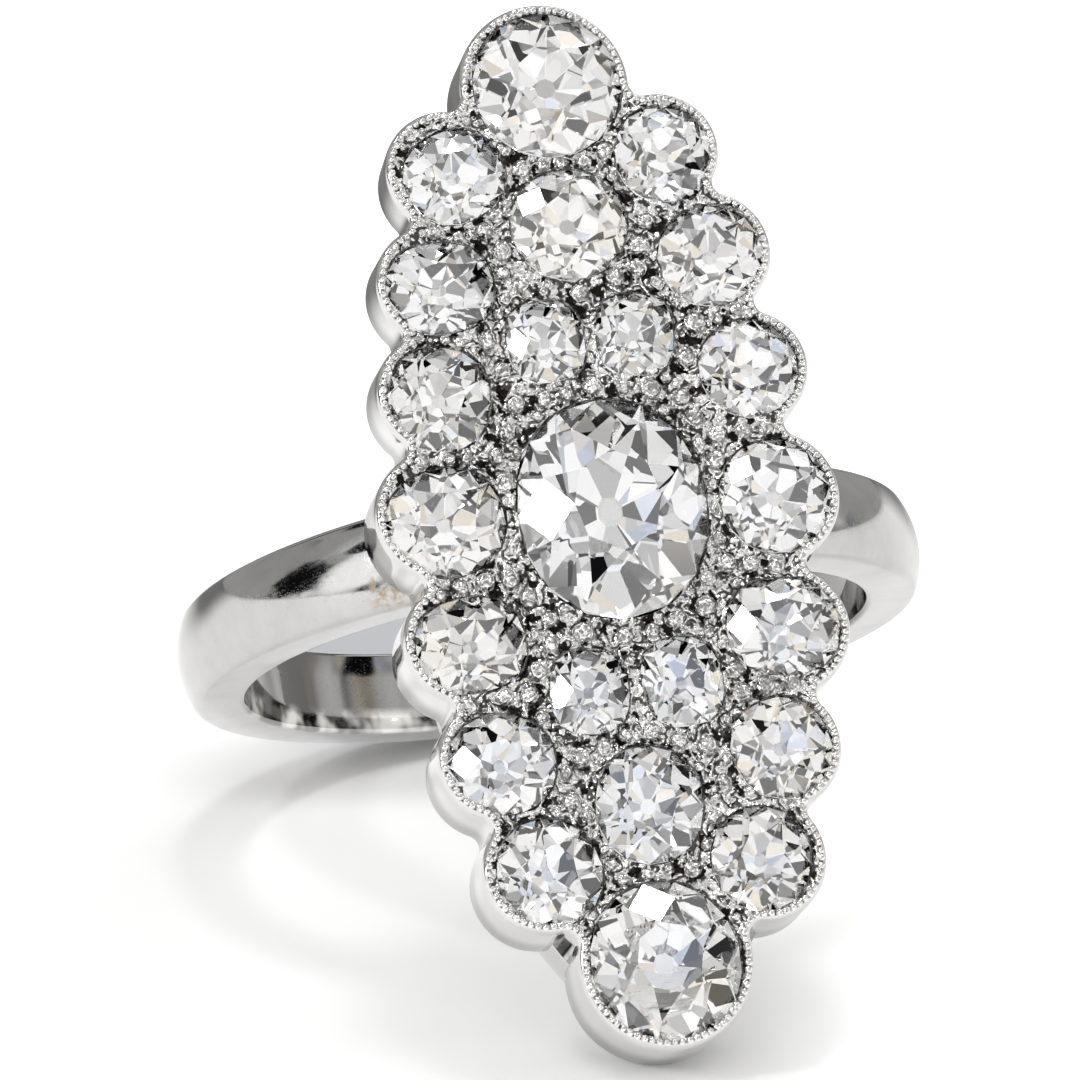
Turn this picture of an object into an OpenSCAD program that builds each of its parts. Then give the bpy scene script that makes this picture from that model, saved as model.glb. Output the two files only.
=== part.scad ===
// Navette ring: a plain hoop that carries a long pointed-oval head, paved with
// twenty-three old-cut stones inside a scalloped rim.
// The ring is drawn as it lies on a table: the lower tip of the head and the back of
// the hoop touch the plane z = 0, and the finger axis leans back.

/* [Hoop] */
// Inner diameter of the finger hole
finger_d = 17.5; // [17:0.1:18.4]
// Greatest thickness of the hoop
hoop_t = 1.72; // [1.6:0.02:1.9]
// Thickness of the hoop along its edges
hoop_edge_t = 1.2; // [1.0:0.02:1.3]
// Width of the hoop beside the head
hoop_w_head = 2.68; // [2.4:0.02:3]
// Width of the hoop at the back
hoop_w_back = 2.2; // [1.9:0.02:2.4]
// Radius of the rounding along the hoop's edges
hoop_round = 0.3; // [0.2:0.02:0.4]
// Height of the hoop's middle above the middle of the head
hoop_rise = 0.3; // [0:0.05:0.5]

/* [Head] */
// Distance from the finger axis to the plane of the stones' girdles
girdle_y = 12.04; // [12:0.02:12.4]
// Shift of the head to the wearer's side of the hoop's middle
head_shift = -0.3; // [-0.4:0.05:0]
// Turn of the head against the finger axis, in degrees
head_turn = 2.1; // [0:0.1:3]
// Least width of the scalloped rim outside a border stone
rim_w = 0.25; // [0.22:0.01:0.28]
// Radius of the hollows between the scallops
notch_r = 0.35; // [0.3:0.01:0.45]
// Height of the rim above the girdles
rim_h = 0.3; // [0.2:0.02:0.36]
// Bevel round the rim's outer edge
rim_bevel = 0.14; // [0.08:0.02:0.16]
// Depth of the outer wall below the girdles
wall_d = 2.2; // [2:0.05:2.3]
// Height of the bed between the stones above the girdles
bed_h = 0.1; // [0.06:0.02:0.16]
// Depth of the bed's underside below the girdles
bed_d = 1.5; // [1.3:0.05:1.7]

/* [Under-frame] */
// Half width of the frame under the head
frame_a = 5.1; // [4.9:0.05:5.3]
// Half length of the frame under the head
frame_b = 13.4; // [13.2:0.05:13.6]
// Shift of the frame towards the upper tip
frame_up = 0.15; // [0:0.05:0.2]
// Width of the frame's wire
frame_w = 0.9; // [0.7:0.05:1]
// Depth of the frame's underside below the girdles
frame_d = 3.2; // [3.1:0.05:3.24]

/* [Stones] */
// Crown height as a share of a stone's mean width
crown_f = 0.165; // [0.14:0.005:0.18]
// Pavilion depth as a share of a stone's mean width
pavilion_f = 0.4; // [0.36:0.005:0.41]
// Width of the culet as a share of the stone's width
culet_f = 0.13; // [0.08:0.01:0.16]
// Thickness of the girdle as a share of the stone's mean width
girdle_f = 0.03; // [0.02:0.005:0.04]
// Gap between a stone and its seat
seat_gap = 0.03; // [0.02:0.01:0.05]
// Opening at the back of a seat as a share of the stone's width
seat_back_f = 0.72; // [0.6:0.02:0.74]

/* [Rest] */
// Roll of the lying ring towards its left side, in degrees
roll = 3.2; // [0:0.2:4]
// Depth worn away where the ring touches the table
wear = 0.05; // [0.04:0.01:0.08]

/* [Hidden] */

// One row for each stone. The columns are its name, its place across and along the
// head, its width and length, the squareness of its outline (2 is an ellipse), its
// turn in degrees and the width of its table as a share of its own width.
STONES = [
    ["upper_tip_stone",    -0.15,  11.78, 4.02, 4.00, 2.00,  14, 0.46],
    ["right_stone_1",       2.74,   9.63, 2.62, 2.62, 2.25,  -8, 0.50],
    ["right_stone_2",       3.63,   6.72, 2.88, 2.72, 2.10,  20, 0.47],
    ["right_stone_3",       4.22,   3.55, 2.67, 2.67, 2.05,  33, 0.50],
    ["right_stone_4",       4.47,   0.01, 3.00, 3.10, 2.10,   6, 0.54],
    ["right_stone_5",       4.19,  -3.51, 3.04, 2.60, 2.35,  -5, 0.50],
    ["right_stone_6",       3.69,  -6.73, 2.66, 2.66, 2.25,  18, 0.48],
    ["right_stone_7",       2.75,  -9.62, 2.64, 2.80, 2.05, -12, 0.46],
    ["lower_tip_stone",    -0.12, -12.08, 3.95, 4.25, 2.05,   9, 0.45],
    ["left_stone_7",       -2.84,  -9.45, 2.74, 2.90, 2.05,  25, 0.47],
    ["left_stone_6",       -3.72,  -6.49, 2.88, 2.68, 2.10,  -6, 0.44],
    ["left_stone_5",       -4.12,  -3.26, 2.92, 2.55, 2.45,   7, 0.47],
    ["left_stone_4",       -4.38,   0.06, 3.20, 2.95, 2.15,  16, 0.50],
    ["left_stone_3",       -4.12,   3.42, 2.70, 2.84, 2.35,  -9, 0.46],
    ["left_stone_2",       -3.72,   6.43, 2.88, 2.50, 2.45,   3, 0.48],
    ["left_stone_1",       -2.96,   9.46, 2.72, 2.52, 2.30,  24, 0.46],
    ["centre_stone",        0.08,   0.07, 5.05, 5.94, 2.15,   0, 0.46],
    ["upper_round_stone",  -0.07,   7.89, 3.14, 3.05, 2.05,  11, 0.50],
    ["lower_round_stone",   0.00,  -7.92, 2.86, 3.15, 2.10,  -7, 0.46],
    ["small_stone_1",      -1.10,   4.75, 2.08, 2.24, 2.80,   4, 0.48],
    ["small_stone_2",       1.30,   4.75, 2.08, 2.26, 2.80,  -6, 0.50],
    ["small_stone_3",      -1.17,  -4.77, 2.08, 2.26, 2.80,  -3, 0.46],
    ["small_stone_4",       1.31,  -4.73, 2.12, 2.40, 2.80,   5, 0.50]
];
// Columns of that table
NAME = 0;
ACROSS = 1;
ALONG = 2;
WIDTH = 3;
LENGTH = 4;
SQUARENESS = 5;
TURN = 6;
TABLE = 7;
// The first rows go once round the border, clockwise from the upper tip
BORDER_COUNT = 16;
LOWER_TIP_ROW = 8;

// The scallop round each border stone, in the same order. The columns are how far its
// middle lies off the stone's, across and along, and what its rim has over the least
// width.
SCALLOPS = [
    [-0.10, -0.05, 0.05], // upper tip
    [-0.10,  0.10, 0.03], // right side, downwards
    [-0.05,  0.10, 0.03],
    [ 0.00,  0.00, 0.02],
    [-0.08,  0.00, 0.02],
    [ 0.02, -0.10, 0.09],
    [ 0.00,  0.00, 0.02],
    [ 0.05,  0.00, 0.07],
    [ 0.00,  0.00, 0.02], // lower tip
    [-0.10,  0.05, 0.03], // left side, upwards
    [-0.05,  0.12, 0.00],
    [-0.12,  0.10, 0.05],
    [-0.05,  0.22, 0.02],
    [-0.02,  0.15, 0.02],
    [-0.08,  0.12, 0.05],
    [-0.18,  0.15, 0.11]
];
// Columns of that table
OFF_ACROSS = 0;
OFF_ALONG = 1;
EXTRA = 2;

// Share of the crown's height at which the star facets end
star_f = 0.52;
// Share of the pavilion's depth at which the lower halves end
half_f = 0.5;
// Share by which the corners between the pavilion's mains stand out past its outline
corner_f = 0.07;
// Spare length of a cut past the face it opens
past = 1;
// How far the arc of a hollow reaches into the scallops beside it
notch_in = 0.03;
// Sides of a round part
smooth = 96;
// Sides of the under-frame's oval
frame_sides = 48;

finger_r = finger_d / 2;
hoop_r = finger_r + hoop_t;
// Section of the hoop: a flat arc over its back runs on into a small one at each edge,
// whose middle lies round_z from the hoop's middle plane and round_at from its axis
dome_rise = hoop_t - hoop_edge_t;
round_z = hoop_w_head / 2 - hoop_round;
round_at = finger_r + hoop_edge_t;
dome_r = (pow(round_z, 2) + pow(dome_rise, 2) - pow(hoop_round, 2))
    / (2 * (dome_rise - hoop_round));
dome_at = hoop_r - dome_r;
// Where the two arcs meet
blend_angle = atan2(round_z, round_at - dome_at);
blend_z = dome_r * sin(blend_angle);

function mean_width(s) = (s[WIDTH] + s[LENGTH]) / 2;
function seat_place(s) = [s[ACROSS], s[ALONG]];
// Middle and radius of scallop i
function rim_place(i) =
    seat_place(STONES[i]) + [SCALLOPS[i][OFF_ACROSS], SCALLOPS[i][OFF_ALONG]];
function rim_r(i) = mean_width(STONES[i]) / 2 + rim_w + SCALLOPS[i][EXTRA];
function next(i) = (i + 1) % BORDER_COUNT;

// Outline of a stone: a superellipse, sampled at the sixteen corners of its girdle
CORNERS = 16;
MAINS = CORNERS / 2;
function corner_angle(j) = 360 * j / CORNERS;
function outline_r(s, a, grow = 0) =
    pow(pow(abs(cos(a)) / (s[WIDTH] / 2 + grow), s[SQUARENESS])
      + pow(abs(sin(a)) / (s[LENGTH] / 2 + grow), s[SQUARENESS]), -1 / s[SQUARENESS]);
function corner(s, j, grow = 0) =
    outline_r(s, corner_angle(j), grow) * [cos(corner_angle(j)), sin(corner_angle(j))];
function outline(s, grow = 0) = [for (j = [0 : CORNERS - 1]) corner(s, j, grow)];

// Direction square to the outline at main facet k
function slope_part(x, half, e) = sign(x) * pow(abs(x) / half, e - 1) / half;
function main_normal(s, k) =
    let (p = corner(s, 2 * k),
         n = [slope_part(p.x, s[WIDTH] / 2, s[SQUARENESS]),
              slope_part(p.y, s[LENGTH] / 2, s[SQUARENESS])])
    n / norm(n);

// Corner where main facets k and k + 1 meet, at the level where each main has come in
// to the share f of its distance from the stone's middle at the girdle
function mains_meet(s, k, f) =
    let (k2 = (k + 1) % MAINS,
         n1 = main_normal(s, k),
         n2 = main_normal(s, k2),
         c1 = f * (n1 * corner(s, 2 * k)),
         c2 = f * (n2 * corner(s, 2 * k2)),
         d = n1.x * n2.y - n1.y * n2.x)
    [(c1 * n2.y - c2 * n1.y) / d, (n1.x * c2 - n2.x * c1) / d];

function at_height(p, z) = [p.x, p.y, z];

// Heights of a stone, from the middle of its girdle
function half_girdle(s) = girdle_f * mean_width(s) / 2;
function crown_h(s) = crown_f * mean_width(s);
function pavilion_d(s) = pavilion_f * mean_width(s);
// Depth of the ledge, just below where the pavilion, corners and all, passes the edge of
// the seat's back opening
function ledge_d(s) =
    half_girdle(s) + seat_gap
    + pavilion_d(s) * (1 + corner_f - seat_back_f) / (1 - culet_f);
function pocket_d(s) = max(wall_d, half_girdle(s) + pavilion_d(s) + 2 * seat_gap);

// Old-cut stone with a table, 8 star, 8 kite and 16 upper half facets over the girdle,
// and 8 mains, 16 lower halves and an open culet under it. Every facet is flat.
module cut_stone(s) {
    g = half_girdle(s);
    table_z = g + crown_h(s);
    star_z = g + crown_h(s) * star_f;
    half_z = -g - pavilion_d(s) * half_f;
    culet_z = -g - pavilion_d(s);
    star_in = 1 - (1 - s[TABLE]) * star_f;
    half_in = 1 - (1 - culet_f) * half_f;
    last = MAINS - 1;
    points = concat(
        [for (k = [0 : last]) at_height(s[TABLE] * corner(s, 2 * k), table_z)],
        [for (k = [0 : last]) at_height(mains_meet(s, k, star_in), star_z)],
        [for (j = [0 : CORNERS - 1]) at_height(corner(s, j), g)],
        [for (j = [0 : CORNERS - 1]) at_height(corner(s, j), -g)],
        [for (k = [0 : last]) at_height(mains_meet(s, k, half_in), half_z)],
        [for (k = [0 : last]) at_height(mains_meet(s, k, culet_f), culet_z)]);
    // First point of each ring of corners
    table = 0;
    star = table + MAINS;
    upper = star + MAINS;
    lower = upper + CORNERS;
    half = lower + CORNERS;
    culet = half + MAINS;
    faces = concat(
        [[for (k = [last : -1 : 0]) table + k]],
        [for (k = [0 : last]) [table + k, table + (k + 1) % MAINS, star + k]],
        [for (k = [0 : last])
            [table + k, star + k, upper + 2 * k, star + (k + last) % MAINS]],
        [for (k = [0 : last]) [upper + 2 * k, star + k, upper + 2 * k + 1]],
        [for (k = [0 : last])
            [upper + 2 * k + 1, star + k, upper + (2 * k + 2) % CORNERS]],
        [for (j = [0 : CORNERS - 1])
            [upper + j, upper + (j + 1) % CORNERS, lower + (j + 1) % CORNERS, lower + j]],
        [for (k = [0 : last])
            [culet + k, culet + (k + last) % MAINS, half + (k + last) % MAINS,
             lower + 2 * k, half + k]],
        [for (k = [0 : last]) [lower + 2 * k, lower + 2 * k + 1, half + k]],
        [for (k = [0 : last])
            [lower + 2 * k + 1, lower + (2 * k + 2) % CORNERS, half + k]],
        [[for (k = [0 : last]) culet + k]]);
    polyhedron(points, faces);
}

// Support of the ring's two rounded forms in a direction d of the ring's own frame:
// how far each reaches that way from the middle of the hoop
function head_place(u, v, w) =
    [head_shift + u * cos(head_turn) + v * sin(head_turn),
     -girdle_y - w,
     v * cos(head_turn) - u * sin(head_turn) - hoop_rise];
function rim_reach(i, d) =
    let (c = rim_place(i))
    max(head_place(c.x, c.y, rim_h) * d, head_place(c.x, c.y, -wall_d) * d)
    + rim_r(i) * norm([d.x, d.z]);
// Radius of the hoop's section at the distance z from its middle plane
function section_r(z) =
    z < blend_z ? dome_at + sqrt(pow(dome_r, 2) - z * z)
                : round_at + sqrt(pow(hoop_round, 2) - pow(z - round_z, 2));
function hoop_reach(d) =
    let (out = norm([d.x, d.y]),
         tilt = atan2(abs(d.z), out),
         w = d.y > 0 ? hoop_w_back : hoop_w_head,
         full = tilt < blend_angle ? dome_r * sin(tilt)
                                   : round_z + hoop_round * sin(tilt),
         z = min(full, w / 2))
    section_r(z) * out + abs(d.z) * z;
function head_reach(d) = max([for (i = [0 : BORDER_COUNT - 1]) rim_reach(i, d)]);
function reach(d) = max(head_reach(d), hoop_reach(d));

// Table directions, seen from the ring's own frame, when it leans back by the angle a
function ring_right(a) = [cos(roll), sin(roll) * sin(a), -sin(roll) * cos(a)];
function ring_back(a) = [0, cos(a), sin(a)];
function ring_up(a) = [sin(roll), -cos(roll) * sin(a), cos(roll) * cos(a)];

// The lean at which the lower tip and the back of the hoop touch the table together,
// found by halving the range that holds it
function find_lean(low, high, steps) =
    let (mid = (low + high) / 2, down = -ring_up(mid))
    steps == 0 ? mid
        : rim_reach(LOWER_TIP_ROW, down) > hoop_reach(down)
            ? find_lean(mid, high, steps - 1)
            : find_lean(low, mid, steps - 1);
lean = find_lean(low = 10, high = 60, steps = 40);

function middle(d) = (reach(d) - reach(-d)) / 2;
rest_shift = [-middle(ring_right(lean)), -middle(ring_back(lean)),
              reach(-ring_up(lean)) - wear];

// Sets a shape of the ring's own frame down on the table
module at_rest() {
    translate(rest_shift)
        rotate([0, -roll, 0])
            rotate([-lean, 0, 0])
                children();
}

// Sets a shape of the head's own frame, x across, y along and z outwards, on the ring
module on_head() {
    translate([head_shift, -girdle_y, -hoop_rise])
        rotate([0, head_turn, 0])
            rotate([90, 0, 0])
                children();
}

// Prism over an outline of the head, from one level to another
module layer(from, to) {
    translate([0, 0, from])
        linear_extrude(height = to - from)
            children();
}

// Section of the hoop beside the head, flat inside and round outside
module section() {
    blend_x = dome_at + dome_r * cos(blend_angle);
    intersection() {
        translate([dome_at, 0])
            circle(r = dome_r, $fn = smooth);
        polygon([[finger_r, -round_z], [blend_x, -blend_z], [hoop_r + past, -blend_z],
                 [hoop_r + past, blend_z], [blend_x, blend_z], [finger_r, round_z]]);
    }
    for (side = [-1, 1])
        translate([round_at, side * round_z])
            circle(r = hoop_round, $fn = smooth / 2);
    translate([finger_r, -hoop_w_head / 2])
        square([hoop_edge_t, hoop_w_head]);
}

// Hoop, whose flat sides draw in towards the back
module hoop() {
    intersection() {
        rotate_extrude($fn = 2 * smooth)
            section();
        rotate([90, 0, 90])
            linear_extrude(height = 2 * (hoop_r + past), center = true)
                polygon([[-hoop_r, -hoop_w_head / 2], [hoop_r, -hoop_w_back / 2],
                         [hoop_r, hoop_w_back / 2], [-hoop_r, hoop_w_head / 2]]);
    }
}

// Field inside the border stones, through the middles of their seats
module field() {
    polygon([for (i = [0 : BORDER_COUNT - 1]) seat_place(STONES[i])]);
}

// One scallop of the outer wall, bevelled round its rim
module scallop(i) {
    shoulder = rim_h - rim_bevel;
    translate(rim_place(i)) {
        layer(-wall_d, shoulder)
            circle(r = rim_r(i), $fn = smooth);
        translate([0, 0, shoulder])
            cylinder(h = rim_bevel, r1 = rim_r(i), r2 = rim_r(i) - rim_bevel,
                     $fn = smooth);
    }
}

// Metal that rounds out the hollow between a scallop and the next one. The hollow's
// middle lies outside both, where its arc just runs into theirs.
module notch(i) {
    c1 = rim_place(i);
    c2 = rim_place(next(i));
    r1 = rim_r(i) + notch_r - notch_in;
    r2 = rim_r(next(i)) + notch_r - notch_in;
    apart = norm(c2 - c1);
    from_c1 = (apart * apart + r1 * r1 - r2 * r2) / (2 * apart);
    along = (c2 - c1) / apart;
    // The scallops run clockwise, so the outside lies to the left of the way on
    outward = [-along.y, along.x];
    hollow = c1 + from_c1 * along + sqrt(r1 * r1 - from_c1 * from_c1) * outward;
    difference() {
        layer(-wall_d, rim_h)
            polygon([c1, hollow, c2]);
        translate(hollow) {
            layer(-wall_d - past, rim_h + past)
                circle(r = notch_r, $fn = smooth / 2);
            translate([0, 0, rim_h - rim_bevel])
                cylinder(h = 2 * rim_bevel, r1 = notch_r, r2 = notch_r + 2 * rim_bevel,
                         $fn = smooth / 2);
        }
    }
}

// Scalloped wall round the bed, which lies a little lower than the rim
module head_shell() {
    difference() {
        union() {
            for (i = [0 : BORDER_COUNT - 1]) {
                scallop(i);
                notch(i);
            }
            layer(-bed_d, bed_h) field();
        }
        layer(bed_h, rim_h + past) field();
        layer(-wall_d - past, -bed_d) field();
    }
}

// Outline of the under-frame, an ellipse
module frame_outline(a, b) {
    polygon([for (i = [0 : frame_sides - 1])
        [a * cos(360 * i / frame_sides), b * sin(360 * i / frame_sides)]]);
}

module under_frame() {
    translate([0, frame_up])
        layer(-frame_d, -bed_d)
            difference() {
                frame_outline(frame_a, frame_b);
                frame_outline(frame_a - frame_w, frame_b - frame_w);
            }
}

// Seat of one stone: a recess for the girdle over a narrower opening to the back
module seat(s) {
    translate([s[ACROSS], s[ALONG], 0])
        rotate([0, 0, s[TURN]]) {
            layer(-ledge_d(s), rim_h + past)
                polygon(outline(s, seat_gap));
            layer(-pocket_d(s), 0)
                polygon(seat_back_f * outline(s));
        }
}

// Hoop, under-frame and scalloped head, soldered into one
module ring_mount() {
    color("gainsboro")
        difference() {
            at_rest()
                difference() {
                    union() {
                        hoop();
                        on_head() {
                            head_shell();
                            under_frame();
                        }
                    }
                    on_head()
                        for (s = STONES) seat(s);
                }
            // What lying on the table has worn flat
            layer(-past, 0)
                square(4 * girdle_y, center = true);
        }
}

module stone(s) {
    color("aliceblue")
        at_rest()
            on_head()
                translate([s[ACROSS], s[ALONG], 0])
                    rotate([0, 0, s[TURN]])
                        cut_stone(s);
}

ring_mount();
for (s = STONES)
    stone(s);
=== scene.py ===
import math
import random

import bmesh
import bpy
import numpy as np
from mathutils import Matrix, Vector, noise


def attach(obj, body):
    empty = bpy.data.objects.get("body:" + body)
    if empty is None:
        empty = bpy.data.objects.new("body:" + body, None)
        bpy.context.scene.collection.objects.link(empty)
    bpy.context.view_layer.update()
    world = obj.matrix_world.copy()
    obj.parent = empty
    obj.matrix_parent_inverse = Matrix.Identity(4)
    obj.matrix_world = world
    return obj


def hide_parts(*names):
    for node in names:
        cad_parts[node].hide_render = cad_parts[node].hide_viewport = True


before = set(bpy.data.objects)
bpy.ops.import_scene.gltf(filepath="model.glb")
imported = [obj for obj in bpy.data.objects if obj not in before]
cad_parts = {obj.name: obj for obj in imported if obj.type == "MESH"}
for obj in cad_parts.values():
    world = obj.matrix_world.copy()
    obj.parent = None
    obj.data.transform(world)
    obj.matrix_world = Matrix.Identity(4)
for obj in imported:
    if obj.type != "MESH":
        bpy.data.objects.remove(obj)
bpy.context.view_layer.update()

# The ring's own sizes, in millimetres, as its solids have them.
MM = 0.001
FINGER_R = 8.75
HOOP_T = 1.72
HOOP_EDGE_T = 1.2
HOOP_W_HEAD = 2.68
HOOP_W_BACK = 2.34
HOOP_ROUND = 0.3
INNER_ROUND = 0.14
GIRDLE_Y = 12.04
HEAD_SHIFT = -0.3
HEAD_TURN = 2.1
HOOP_RISE = 0.3
RIM_W = 0.25
NOTCH_R = 0.35
WALL_D = 2.2
BED_H = 0.1
BED_D = 1.5
FRAME_A = 5.1
FRAME_B = 13.4
FRAME_UP = 0.15
FRAME_W = 0.9
FRAME_D = 3.2
SEAT_GAP = 0.03
SEAT_BACK = 0.72
LEAN = 34.1278
ROLL = 3.2
REST_SHIFT = (0.0, 4.67632, 6.62967)

# Name, place across and along the head, width, length, squareness and turn of each
# stone, as in the solids. The first sixteen go clockwise round the border.
STONES = [
    ("upper_tip_stone", -0.15, 11.78, 4.02, 4.00, 2.00, 14),
    ("right_stone_1", 2.74, 9.63, 2.62, 2.62, 2.25, -8),
    ("right_stone_2", 3.63, 6.72, 2.88, 2.72, 2.10, 20),
    ("right_stone_3", 4.22, 3.55, 2.67, 2.67, 2.05, 33),
    ("right_stone_4", 4.47, 0.01, 3.00, 3.10, 2.10, 6),
    ("right_stone_5", 4.19, -3.51, 3.04, 2.60, 2.35, -5),
    ("right_stone_6", 3.69, -6.73, 2.66, 2.66, 2.25, 18),
    ("right_stone_7", 2.75, -9.62, 2.64, 2.80, 2.05, -12),
    ("lower_tip_stone", -0.12, -12.08, 3.95, 4.25, 2.05, 9),
    ("left_stone_7", -2.84, -9.45, 2.74, 2.90, 2.05, 25),
    ("left_stone_6", -3.72, -6.49, 2.88, 2.68, 2.10, -6),
    ("left_stone_5", -4.12, -3.26, 2.92, 2.55, 2.45, 7),
    ("left_stone_4", -4.38, 0.06, 3.20, 2.95, 2.15, 16),
    ("left_stone_3", -4.12, 3.42, 2.70, 2.84, 2.35, -9),
    ("left_stone_2", -3.72, 6.43, 2.88, 2.50, 2.45, 3),
    ("left_stone_1", -2.96, 9.46, 2.72, 2.52, 2.30, 24),
    ("centre_stone", 0.08, 0.07, 5.05, 5.94, 2.15, 0),
    ("upper_round_stone", -0.07, 7.89, 3.14, 3.05, 2.05, 11),
    ("lower_round_stone", 0.00, -7.92, 2.86, 3.15, 2.10, -7),
    ("small_stone_1", -1.10, 4.75, 2.08, 2.24, 2.80, 4),
    ("small_stone_2", 1.30, 4.75, 2.08, 2.26, 2.80, -6),
    ("small_stone_3", -1.17, -4.77, 2.08, 2.26, 2.80, -3),
    ("small_stone_4", 1.31, -4.73, 2.12, 2.40, 2.80, 5),
]
BORDER = 16
CENTRE = 16

# How far each scallop's middle lies off its stone's, across and along, what its rim
# has over the least width, and how far its foot lies off its rim, across and along.
SCALLOPS = [
    (-0.10, -0.05, 0.05, 0.02, 0.06),
    (-0.10, 0.10, 0.03, 0.00, 0.05),
    (-0.05, 0.10, 0.03, 0.00, 0.05),
    (0.00, 0.00, 0.02, 0.00, 0.00),
    (-0.08, 0.00, 0.02, 0.00, 0.00),
    (0.02, -0.10, 0.09, 0.00, 0.00),
    (0.00, 0.00, 0.02, 0.00, 0.00),
    (0.05, 0.00, 0.07, 0.00, 0.00),
    (0.00, 0.00, 0.02, 0.00, 0.00),
    (-0.10, 0.05, 0.03, 0.00, 0.00),
    (-0.05, 0.12, 0.00, 0.00, 0.00),
    (-0.12, 0.10, 0.05, 0.00, 0.00),
    (-0.05, 0.22, 0.02, 0.02, 0.06),
    (-0.02, 0.15, 0.02, 0.06, 0.18),
    (-0.08, 0.12, 0.05, 0.06, 0.20),
    (-0.18, 0.15, 0.11, 0.14, 0.16),
]

RING = (
    Matrix.Translation(REST_SHIFT)
    @ Matrix.Rotation(math.radians(-ROLL), 4, "Y")
    @ Matrix.Rotation(math.radians(-LEAN), 4, "X")
)
HEAD = (
    RING
    @ Matrix.Translation((HEAD_SHIFT, -GIRDLE_Y, -HOOP_RISE))
    @ Matrix.Rotation(math.radians(HEAD_TURN), 4, "Y")
    @ Matrix.Rotation(math.radians(90), 4, "X")
)
# Along the finger, away from the head inside the ring, and out of the head's front.
RING_AXIS = RING.to_3x3() @ Vector((0, 0, 1))
RING_BACK = RING.to_3x3() @ Vector((0, 1, 0))
HEAD_OUT = HEAD.to_3x3() @ Vector((0, 0, 1))

# Row of beads on the rim: how far it is drawn in, its spacing, radius and level.
MILLEGRAIN_IN = 0.18
MILLEGRAIN_PITCH = 0.2
MILLEGRAIN_R = 0.108
MILLEGRAIN_Z = 0.215
MILLEGRAIN_STRAY = 0.012

# Beads raised from the bed: how far they are drawn in, least and largest radius, radius
# as a share of the room between the stones, and spacing as a share of two radii.
GRAIN_IN = 0.42
GRAIN_R_LEAST = 0.17
GRAIN_R_MOST = 0.3
GRAIN_ROOM = 0.9
GRAIN_SPACING = 1.15
GRAIN_TRIES = 9000

# Pocket in the hoop under the centre stone: depth below the rim, and share of the stone.
POCKET_D = 2.36
POCKET_SHARE = 0.36


# Modelling helpers

def pick(*pieces):
    """Leaves object mode with only these pieces selected, the last one active."""
    if bpy.context.object and bpy.context.object.mode != "OBJECT":
        bpy.ops.object.mode_set(mode="OBJECT")
    bpy.ops.object.select_all(action="DESELECT")
    for piece in pieces:
        piece.select_set(True)
        bpy.context.view_layer.objects.active = piece


def place(piece, matrix):
    """Sets a piece, made in millimetres of one of the ring's frames, in its place."""
    piece.data.transform(matrix)
    piece.data.transform(Matrix.Scale(MM, 4))
    piece.data.update()


def outward(piece, merge=1e-7):
    """Merges doubles and points all faces outwards."""
    pick(piece)
    bpy.ops.object.mode_set(mode="EDIT")
    bpy.ops.mesh.select_all(action="SELECT")
    bpy.ops.mesh.remove_doubles(threshold=merge)
    bpy.ops.mesh.normals_make_consistent(inside=False)
    bpy.ops.object.mode_set(mode="OBJECT")


def smooth(piece, angle=40):
    pick(piece)
    bpy.ops.object.shade_smooth_by_angle(angle=math.radians(angle))


def loft(name, rings, matrix):
    """Closed band: a circle is extruded from ring to ring and back onto the first."""
    count = len(rings[0])
    pick()
    bpy.ops.mesh.primitive_circle_add(vertices=count, radius=1)
    piece = bpy.context.object
    piece.name = name
    bpy.ops.object.mode_set(mode="EDIT")
    mesh = bmesh.from_edit_mesh(piece.data)
    tag = mesh.verts.layers.int.new("tag")
    for i, vert in enumerate(mesh.verts):
        vert[tag] = i
        vert.co = rings[0][i]
    for ring in rings[1:] + rings[:1]:
        bpy.ops.mesh.extrude_edges_move()
        mesh = bmesh.from_edit_mesh(piece.data)
        tag = mesh.verts.layers.int["tag"]
        for vert in mesh.verts:
            if vert.select:
                vert.co = ring[vert[tag]]
    bmesh.update_edit_mesh(piece.data)
    outward(piece, 1e-5)
    place(piece, matrix)
    smooth(piece)
    return piece


# Outlines of the head, in its own frame: x across, y along, z outwards

def polar(angle, radius):
    return np.array([math.cos(angle), math.sin(angle)]) * radius


def scallop(i):
    """Middle and radius of a scallop."""
    _, across, along, width, length, _, _ = STONES[i]
    off_across, off_along, extra, _, _ = SCALLOPS[i]
    middle = np.array([across + off_across, along + off_along])
    return middle, (width + length) / 4 + RIM_W + extra


def hollow(i):
    """Middle of the hollow between a scallop and the next one."""
    c1, r1 = scallop(i)
    c2, r2 = scallop((i + 1) % BORDER)
    r1, r2 = r1 + NOTCH_R, r2 + NOTCH_R
    way = c2 - c1
    apart = np.hypot(*way)
    way = way / apart
    reach = (apart**2 + r1**2 - r2**2) / (2 * apart)
    return c1 + way * reach + np.array([-way[1], way[0]]) * math.sqrt(r1**2 - reach**2)


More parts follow.
